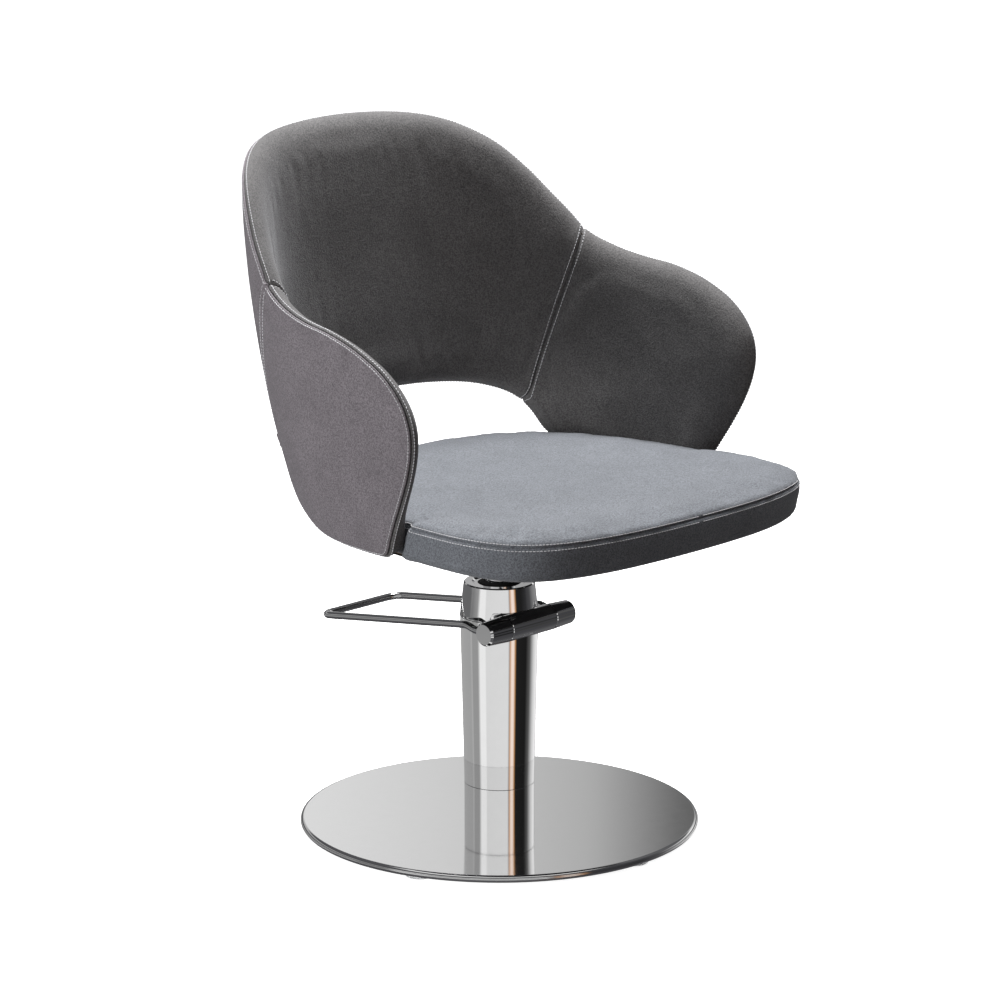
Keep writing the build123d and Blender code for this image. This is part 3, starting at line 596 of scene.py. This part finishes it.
def simulated(trial, held):
    """Where the leather's points end up under their foam's pressure."""
    scene = bpy.context.scene
    group = trial.vertex_groups.new(name="held")
    group.add([int(i) for i in np.flatnonzero(held(coordinates(trial.data)))], 1.0, "REPLACE")
    cloth = trial.modifiers.new("cloth", "CLOTH")
    cloth.settings.quality, cloth.settings.mass = 5, 0.3
    cloth.settings.tension_stiffness = cloth.settings.compression_stiffness = 15
    cloth.settings.bending_stiffness = 0.5
    cloth.settings.vertex_group_mass = "held"
    cloth.settings.use_pressure, cloth.settings.uniform_pressure_force = True, PRESSURE
    cloth.settings.effector_weights.gravity = 0
    cloth.collision_settings.use_collision = False
    cloth.point_cache.frame_end = FRAMES
    for moment in range(1, FRAMES + 1):
        scene.frame_set(moment)
    end = coordinates(trial.evaluated_get(bpy.context.evaluated_depsgraph_get()).data)
    scene.frame_set(1)
    return end


def blown(piece, held, most):
    """Moves the leather as a cloth under its foam's pressure would go, by no more than a given length."""
    trial = even_copy(piece)
    rest = coordinates(trial.data)
    shift = simulated(trial, held) - rest
    length = np.linalg.norm(shift, axis=1)[:, None] + 1e-9
    shift *= most * np.tanh(length / most) / length
    tree = KDTree(len(rest))
    for i, spot in enumerate(rest):
        tree.insert(spot, i)
    tree.balance()
    points = coordinates(piece.data)
    for i, spot in enumerate(points):
        near = tree.find_n(spot, 5)
        weight = np.array([1 / (gap + 1e-4) for _, _, gap in near])
        points[i] += (shift[[j for _, j, _ in near]] * weight[:, None]).sum(0) / weight.sum()
    piece.data.vertices.foreach_set("co", points.ravel())
    piece.data.update()
    bpy.data.objects.remove(trial)


# ---------------------------------------------------------------- building the upholstery
def upholster(name, grids, node, held=None, most=0.003):
    """Leather piece in place of its CAD node; with a held test, its free leather is blown out."""
    piece = new_object(name, *gather(grids))
    if held is not None:
        blown(piece, held, most)
    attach(piece, "seat")
    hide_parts(node)
    return piece


def shell_panels():
    """The six leather panels of the shell, and the paths of their stitches."""
    pieces, paths = [], []
    for kind, profile, low_roll, swell in (("inner", inner_profile(), 0.5, 0.003),
                                           ("outer", outer_profile(), 0.8, 0.0015)):
        part = "pad" if kind == "inner" else "cover"
        faces = profile[-1, 0], profile[0, 0]
        grids = back_grids(profile, low_roll, *faces, swell)
        top, low, face, hidden = grids[:4]
        held = shell_held if kind == "inner" else None
        pieces.append(upholster(f"back_{kind}_leather", grids, f"back_{kind}_{part}", held))
        paths += [edge_path(top), edge_path(low)]
        paths += [seam_path(top, low, face, hidden, c) for c in (STITCH_COLUMN, -1 - STITCH_COLUMN)]
        grids = arm_grids(profile, *faces, swell)
        for side, work in (("left", grids), ("right", mirrored(grids))):
            name = f"arm_{kind}_leather_{side}"
            pieces.append(upholster(name, work, f"arm_{kind}_{part}_{side}", held))
            edge, face, hidden = work[:3]
            paths.append(edge_path(edge))
            paths.append(seam_path(edge, edge[::-1], face, hidden, STITCH_COLUMN))
    return pieces, paths


def seat():
    """The seat cushion and the paths of its stitches."""
    grids = seat_grids()
    piece = upholster("seat_leather", grids, "seat_cushion", seat_held, 0.004)
    edge = grids[0]
    core = edge[:, 0] * [0.8, 0.8, 0] + [0, 0, 0.43]
    return piece, [(edge[:, row], path_normals(edge[:, row], core)) for row in SEAT_STITCH_ROWS]


def sew(name, paths):
    """All the stitches of some paths as one piece."""
    piece = new_object(name, *stitches(paths), weld=0)
    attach(piece, "seat")
    return piece


panels, shell_paths = shell_panels()
cushion, seat_paths = seat()
shell_thread = sew("shell_stitches", shell_paths)
seat_thread = sew("seat_stitches", seat_paths)


# ---------------------------------------------------------------- materials
class Shader:
    """A node tree under construction: inputs are plain values or other nodes' sockets."""

    def __init__(self, owner):
        owner.use_nodes = True
        self.tree = owner.node_tree
        self.tree.nodes.clear()

    def add(self, kind, inputs=None, output=0, **settings):
        """New node with its inputs set or linked; gives one of its output sockets."""
        node = self.tree.nodes.new("ShaderNode" + kind)
        for key, value in settings.items():
            setattr(node, key, value)
        for key, value in (inputs or {}).items():
            if isinstance(value, bpy.types.NodeSocket):
                self.tree.links.new(value, node.inputs[key])
            else:
                node.inputs[key].default_value = value
        return node.outputs[output]

    def math(self, operation, *values):
        return self.add("Math", dict(enumerate(values)), operation=operation)

    def place(self, stretch=(1, 1, 1)):
        spot = self.add("TexCoord", output=3)
        return self.add("Mapping", {"Vector": spot, "Scale": stretch})

    def noise(self, scale, detail=4.0, roughness=0.55, stretch=(1, 1, 1), distortion=0.0):
        return self.add("TexNoise", {"Vector": self.place(stretch), "Scale": scale, "Detail": detail,
                                     "Roughness": roughness, "Distortion": distortion})

    def spread(self, value, low, high, from_low=0.3, from_high=0.7):
        return self.add("MapRange", {"Value": value, "From Min": from_low, "From Max": from_high,
                                     "To Min": low, "To Max": high})

    def blend(self, share, one, other):
        return self.add("Mix", {0: share, 6: one, 7: other}, output=2, data_type="RGBA")

    def bump(self, height, strength, distance, under=None):
        inputs = {"Height": height, "Strength": strength, "Distance": distance}
        if under is not None:
            inputs["Normal"] = under
        return self.add("Bump", inputs)

    def finish(self, **inputs):
        names = {key: key.replace("_", " ") for key in inputs}
        surface = self.add("BsdfPrincipled", {names[key]: value for key, value in inputs.items()})
        self.add_output(surface)

    def add_output(self, surface):
        out = self.tree.nodes.new("ShaderNodeOutputMaterial")
        self.tree.links.new(surface, out.inputs["Surface"])


def shade(color, factor):
    """A colour made lighter or darker."""
    return tuple(c * factor for c in color[:3]) + (1.0,)


def nubuck(name, color, mottle):
    """Napped leather: cloudy colour, fine grain and a soft sheen."""
    made = bpy.data.materials.new(name)
    s = Shader(made)
    clouds = s.noise(13, 4, 0.6, distortion=0.8)
    patches = s.noise(34, 5, 0.65, distortion=0.4)
    grain = s.noise(520, 2, 0.5)
    nap = s.noise(1300, 2, 0.5)
    base = s.blend(s.spread(clouds, 0, 1, 0.36, 0.64), shade(color, 1 - mottle), shade(color, 1 + mottle))
    base = s.blend(s.spread(patches, 0, 0.45, 0.42, 0.66), base, shade(color, 1 + 1.9 * mottle))
    base = s.blend(s.spread(grain, 0, 0.75, 0.40, 0.62), base, shade(color, 0.40))
    base = s.blend(s.spread(nap, 0, 0.35, 0.48, 0.72), base, shade(color, 2.3))
    relief = s.bump(grain, 0.55, 0.0009)
    relief = s.bump(nap, 0.4, 0.0005, relief)
    relief = s.bump(patches, 0.3, 0.002, relief)
    s.finish(Base_Color=base, Roughness=s.spread(patches, 0.76, 0.92), Specular_IOR_Level=0.24,
             Sheen_Weight=0.2, Sheen_Roughness=0.5, Sheen_Tint=(0.88, 0.89, 0.92, 1), Normal=relief)
    return made


def metal(name, color, roughness, spread, bump=0.02, scale=60):
    """Metal with faint wear in its polish."""
    made = bpy.data.materials.new(name)
    s = Shader(made)
    wear = s.noise(scale, 4, 0.6)
    tint = s.blend(wear, shade(color, 0.96), shade(color, 1.02))
    s.finish(Base_Color=tint, Metallic=1.0, Roughness=s.spread(wear, roughness - spread, roughness + spread),
             Normal=s.bump(s.noise(scale * 12, 2, 0.5), bump, 0.0002))
    return made


def coated(name, color, roughness, bump=0.15, scale=700, specular=0.5):
    """Paint, rubber, bronze dust or cloth: an even body with fine texture."""
    made = bpy.data.materials.new(name)
    s = Shader(made)
    grain = s.noise(scale, 3, 0.6)
    cloud = s.noise(25, 3, 0.5)
    tint = s.blend(s.spread(cloud, 0, 1), shade(color, 0.88), shade(color, 1.1))
    s.finish(Base_Color=tint, Roughness=s.spread(grain, roughness - 0.06, roughness + 0.06),
             Specular_IOR_Level=specular, Normal=s.bump(grain, bump, 0.0005))
    return made


def plywood(name):
    """Ply with long grain, coloured darker as painted shade so that it reads dark where it shows between arm
    and seat.
    """
    made = bpy.data.materials.new(name)
    s = Shader(made)
    grain = s.noise(40, 5, 0.6, stretch=(1, 14, 14))
    # both browns are darkened: painted shade for where the ply shows in the gap between arm and seat
    tint = s.blend(s.spread(grain, 0, 1), (0.075, 0.052, 0.036, 1), (0.13, 0.095, 0.068, 1))
    s.finish(Base_Color=tint, Roughness=s.spread(grain, 0.5, 0.7), Normal=s.bump(grain, 0.2, 0.0006))
    return made


def clear(name):
    """Clear plastic with faint clouding."""
    made = bpy.data.materials.new(name)
    s = Shader(made)
    haze = s.noise(120, 3, 0.5)
    s.finish(Base_Color=s.blend(haze, (0.86, 0.88, 0.90, 1), (0.95, 0.96, 0.97, 1)),
             Roughness=s.spread(haze, 0.12, 0.22), Transmission_Weight=0.75, IOR=1.46,
             Normal=s.bump(haze, 0.05, 0.0003))
    return made


SEAT_GREY = (0.162, 0.172, 0.190)
# The inner leather's own grey, made darker than the outer leather's as painted shade of the shell's shaded
# inside
INNER_SHADED_GREY = (0.124, 0.120, 0.120)
OUTER_GREY = (0.190, 0.172, 0.186)
THREAD_GREY = (0.66, 0.66, 0.68)

FINISHES = {
    "seat_leather": nubuck("seat_leather", SEAT_GREY, 0.10),
    "inner_leather": nubuck("inner_leather", INNER_SHADED_GREY, 0.13),
    "outer_leather": nubuck("outer_leather", OUTER_GREY, 0.10),
    "chrome": metal("chrome", (0.88, 0.88, 0.88), 0.03, 0.01),
    "polished_stainless": metal("polished_stainless", (0.90, 0.90, 0.90), 0.07, 0.012),
    "bare_steel": metal("bare_steel", (0.50, 0.50, 0.50), 0.32, 0.06),
    "zinc_steel": metal("zinc_steel", (0.60, 0.60, 0.58), 0.30, 0.07),
    "bronze": metal("bronze", (0.46, 0.30, 0.14), 0.34, 0.06),
    "black_steel": coated("black_steel", (0.018, 0.018, 0.019), 0.38),
    "cast_block": coated("cast_block", (0.12, 0.12, 0.125), 0.55, bump=0.5, scale=450),
    "black_rubber": coated("black_rubber", (0.02, 0.02, 0.02), 0.7),
    "dust_cloth": coated("dust_cloth", (0.03, 0.03, 0.032), 0.92, bump=0.6, scale=1400, specular=0.2),
    "plywood": plywood("plywood"),
    "clear_glide": clear("clear_glide"),
}
thread = coated("thread", THREAD_GREY, 0.75, bump=0.5, scale=3000, specular=0.3)


def dress(piece, material):
    """Gives a piece its one material."""
    piece.data.materials.clear()
    piece.data.materials.append(material)


for panel in panels:
    dress(panel, FINISHES["inner_leather" if "inner" in panel.name else "outer_leather"])
dress(cushion, FINISHES["seat_leather"])
for piece in (shell_thread, seat_thread):
    dress(piece, thread)

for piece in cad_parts.values():
    for held in piece.material_slots:
        held.material = FINISHES[held.material.name.split(".")[0]]


# ---------------------------------------------------------------- studio
CAMERA_AT = (-3.500, -3.296, 1.563)
CAMERA_TURN = (math.radians(76.602), 0.0, math.radians(-46.73))
LENS = 144.0

# What polished metal sees round the chair: (degrees from the camera's side towards its right, colour).
BANDS = [(-180, 0.62), (-177, 0.78), (-166, 0.45), (-150, 0.40), (-98, 0.38), (-92, 0.46), (-88, 0.33),
         (-68, 0.33), (-60, 0.92), (-43, 0.92), (-40, 0.76), (27, 0.78), (30, 0.40),
         (33, (0.60, 0.33, 0.18)), (38, (0.98, 0.80, 0.70)), (44, (0.98, 0.82, 0.72)),
         (49, (0.50, 0.25, 0.10)), (53, 0.015), (88, 0.012), (105, 0.10), (127, 0.70), (150, 0.95),
         (170, 0.50), (177.1, 0.12), (177.5, 0.14), (177.8, 0.40), (180, 0.56)]
# How much of the bands there is at each sine of elevation; the rest is the studio's dim depth.
REACH = [(-1.0, 0.06), (-0.41, 0.08), (-0.37, 1.0), (-0.27, 1.0), (-0.23, 0.25), (-0.11, 0.25), (-0.07, 1.0),
         (0.01, 1.0), (0.04, 0.08), (0.22, 0.08), (0.27, 1.0), (0.37, 1.0), (0.41, 0.08), (1.0, 0.08)]
DIM = (0.055, 0.055, 0.06, 1)
OVERHEAD = (0.85, 0.85, 0.85, 1)


def studio_world():
    """White studio seen by the polished metal, as bands round the chair."""
    world = bpy.data.worlds.new("studio")
    bpy.context.scene.world = world
    s = Shader(world)
    ray = s.add("TexCoord", output=0)
    toward = s.add("VectorMath", {0: ray, 1: (-0.728, -0.686, 0)}, output=1, operation="DOT_PRODUCT")
    right = s.add("VectorMath", {0: ray, 1: (0.686, -0.728, 0)}, output=1, operation="DOT_PRODUCT")
    turn = s.math("ARCTAN2", right, toward)
    share = s.math("ADD", s.math("DIVIDE", turn, 2 * math.pi), 0.5)

    def ramp(share, stops):
        found = s.add("ValToRGB", {"Fac": share})
        elements = found.node.color_ramp.elements
        for spot, color in stops[1:-1]:
            elements.new(spot)
        for element, (spot, color) in zip(elements, stops):
            element.color = (*(color if isinstance(color, tuple) else (color,) * 3), 1)
        return found

    height = s.add("SeparateXYZ", {"Vector": ray}, output=2)
    level = s.math("ADD", s.math("MULTIPLY", height, 0.5), 0.5)
    bands = ramp(share, [(angle / 360 + 0.5, color) for angle, color in BANDS])
    color = s.blend(ramp(level, [(rise / 2 + 0.5, much) for rise, much in REACH]), DIM, bands)
    top = s.add("MapRange", {"Value": height, "From Min": 0.84, "From Max": 0.90})
    color = s.blend(top, color, OVERHEAD)
    background = s.add("Background", {"Color": color, "Strength": 1.0})
    out = s.tree.nodes.new("ShaderNodeOutputWorld")
    s.tree.links.new(background, out.inputs["Surface"])


def soft_light(name, place, aim, size, watts):
    """Round studio lamp."""
    lamp = bpy.data.lights.new(name, "AREA")
    lamp.shape, lamp.size, lamp.energy = "DISK", size, watts
    obj = bpy.data.objects.new(name, lamp)
    obj.location = place
    obj.rotation_euler = (Vector(aim) - Vector(place)).to_track_quat("-Z", "Y").to_euler()
    bpy.context.scene.collection.objects.link(obj)
    return obj


def floor():
    """Large pale floor."""
    half = 40
    mesh = bpy.data.meshes.new("floor")
    corners = [(-half, -half, 0), (half, -half, 0), (half, half, 0), (-half, half, 0)]
    mesh.from_pydata(corners, [], [(0, 1, 2, 3)])
    obj = bpy.data.objects.new("floor", mesh)
    bpy.context.scene.collection.objects.link(obj)
    made = bpy.data.materials.new("floor")
    s = Shader(made)
    haze = s.noise(3, 3, 0.5)
    s.finish(Base_Color=s.blend(haze, (0.88, 0.88, 0.88, 1), (0.92, 0.92, 0.92, 1)), Roughness=0.9,
             Specular_IOR_Level=0.1, Emission_Color=(1, 1, 1, 1), Emission_Strength=0.92)
    mesh.materials.append(made)
    obj.visible_glossy = False
    obj.visible_diffuse = False


def camera():
    """Long lens that looks slightly down from in front, on the sitter's right."""
    lens = bpy.data.cameras.new("camera")
    lens.lens, lens.sensor_width = LENS, 36
    lens.clip_end = 200
    obj = bpy.data.objects.new("camera", lens)
    obj.location, obj.rotation_euler = CAMERA_AT, CAMERA_TURN
    bpy.context.scene.collection.objects.link(obj)
    bpy.context.scene.camera = obj


studio_world()
floor()
camera()
soft_light("overhead", (0.55, 0.60, 2.9), (0, -0.05, 0.4), 1.2, 136)
soft_light("side", (-2.8, 0.7, 0.55), (0, 0, 0.55), 1.0, 54).visible_glossy = False
bpy.context.scene.view_settings.view_transform = "Standard"
